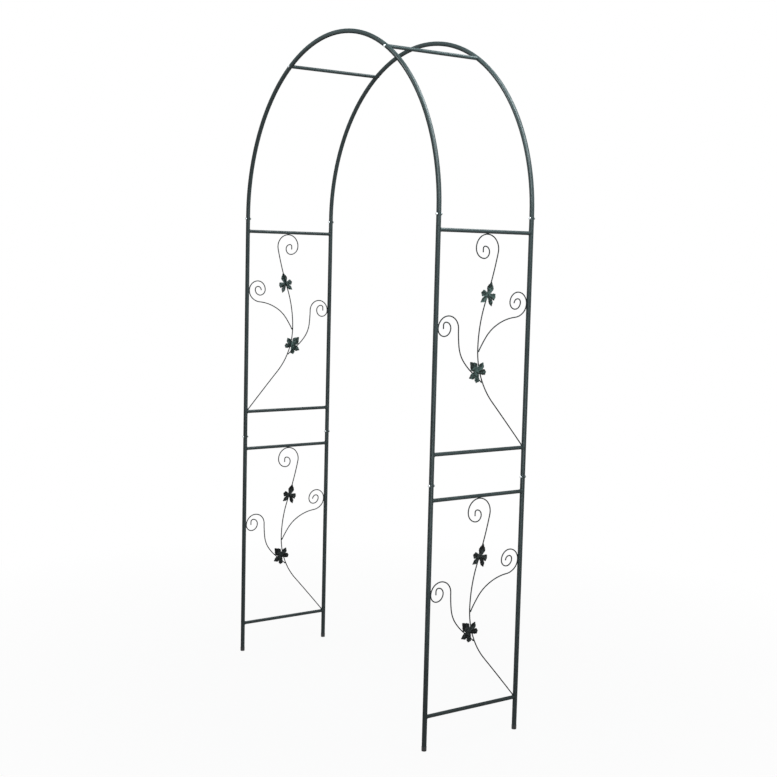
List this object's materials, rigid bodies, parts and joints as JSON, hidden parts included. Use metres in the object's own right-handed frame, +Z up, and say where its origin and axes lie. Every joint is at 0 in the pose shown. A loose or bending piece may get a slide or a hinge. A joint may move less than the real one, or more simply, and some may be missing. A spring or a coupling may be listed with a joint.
{
  "type": "garden arch",
  "caption": "Walk-through garden arch of painted steel tube, with round hoops over side panels of scrolled rod and vine leaves for climbing plants.",
  "frame": {"origin": "on the ground at the middle of the four feet", "axes": "+X across the walkway to the right side seen from the front, +Y along the walkway from front to rear, +Z up"},
  "size_m": [1.2716, 0.4112, 2.4001],
  "materials": {
    "paint": "dark slate green, semi-gloss coating",
    "zinc": "bright zinc plate",
    "plastic": "black moulded plastic"
  },
  "bodies": {
    "root": {"foot_caps": "plastic", "front_hoop": "paint", "hoop_bar_screws": "zinc", "left_hoop_bar": "paint", "left_lower_front_post": "paint", "left_lower_lower_leaf": "paint", "left_lower_panel_bottom_bar": "paint", "left_lower_panel_top_bar": "paint", "left_lower_rear_post": "paint", "left_lower_scroll_high_branch": "paint", "left_lower_scroll_low_branch": "paint", "left_lower_scroll_stem": "paint", "left_lower_upper_leaf": "paint", "left_upper_front_post": "paint", "left_upper_lower_leaf": "paint", "left_upper_panel_bottom_bar": "paint", "left_upper_panel_top_bar": "paint", "left_upper_rear_post": "paint", "left_upper_scroll_high_branch": "paint", "left_upper_scroll_low_branch": "paint", "left_upper_scroll_stem": "paint", "left_upper_upper_leaf": "paint", "lower_joint_bolts": "zinc", "lower_joint_nuts": "zinc", "rear_hoop": "paint", "right_hoop_bar": "paint", "right_lower_front_post": "paint", "right_lower_lower_leaf": "paint", "right_lower_panel_bottom_bar": "paint", "right_lower_panel_top_bar": "paint", "right_lower_rear_post": "paint", "right_lower_scroll_high_branch": "paint", "right_lower_scroll_low_branch": "paint", "right_lower_scroll_stem": "paint", "right_lower_upper_leaf": "paint", "right_upper_front_post": "paint", "right_upper_lower_leaf": "paint", "right_upper_panel_bottom_bar": "paint", "right_upper_panel_top_bar": "paint", "right_upper_rear_post": "paint", "right_upper_scroll_high_branch": "paint", "right_upper_scroll_low_branch": "paint", "right_upper_scroll_stem": "paint", "right_upper_upper_leaf": "paint", "upper_joint_bolts": "zinc", "upper_joint_nuts": "zinc"}
  },
  "joints": []
}
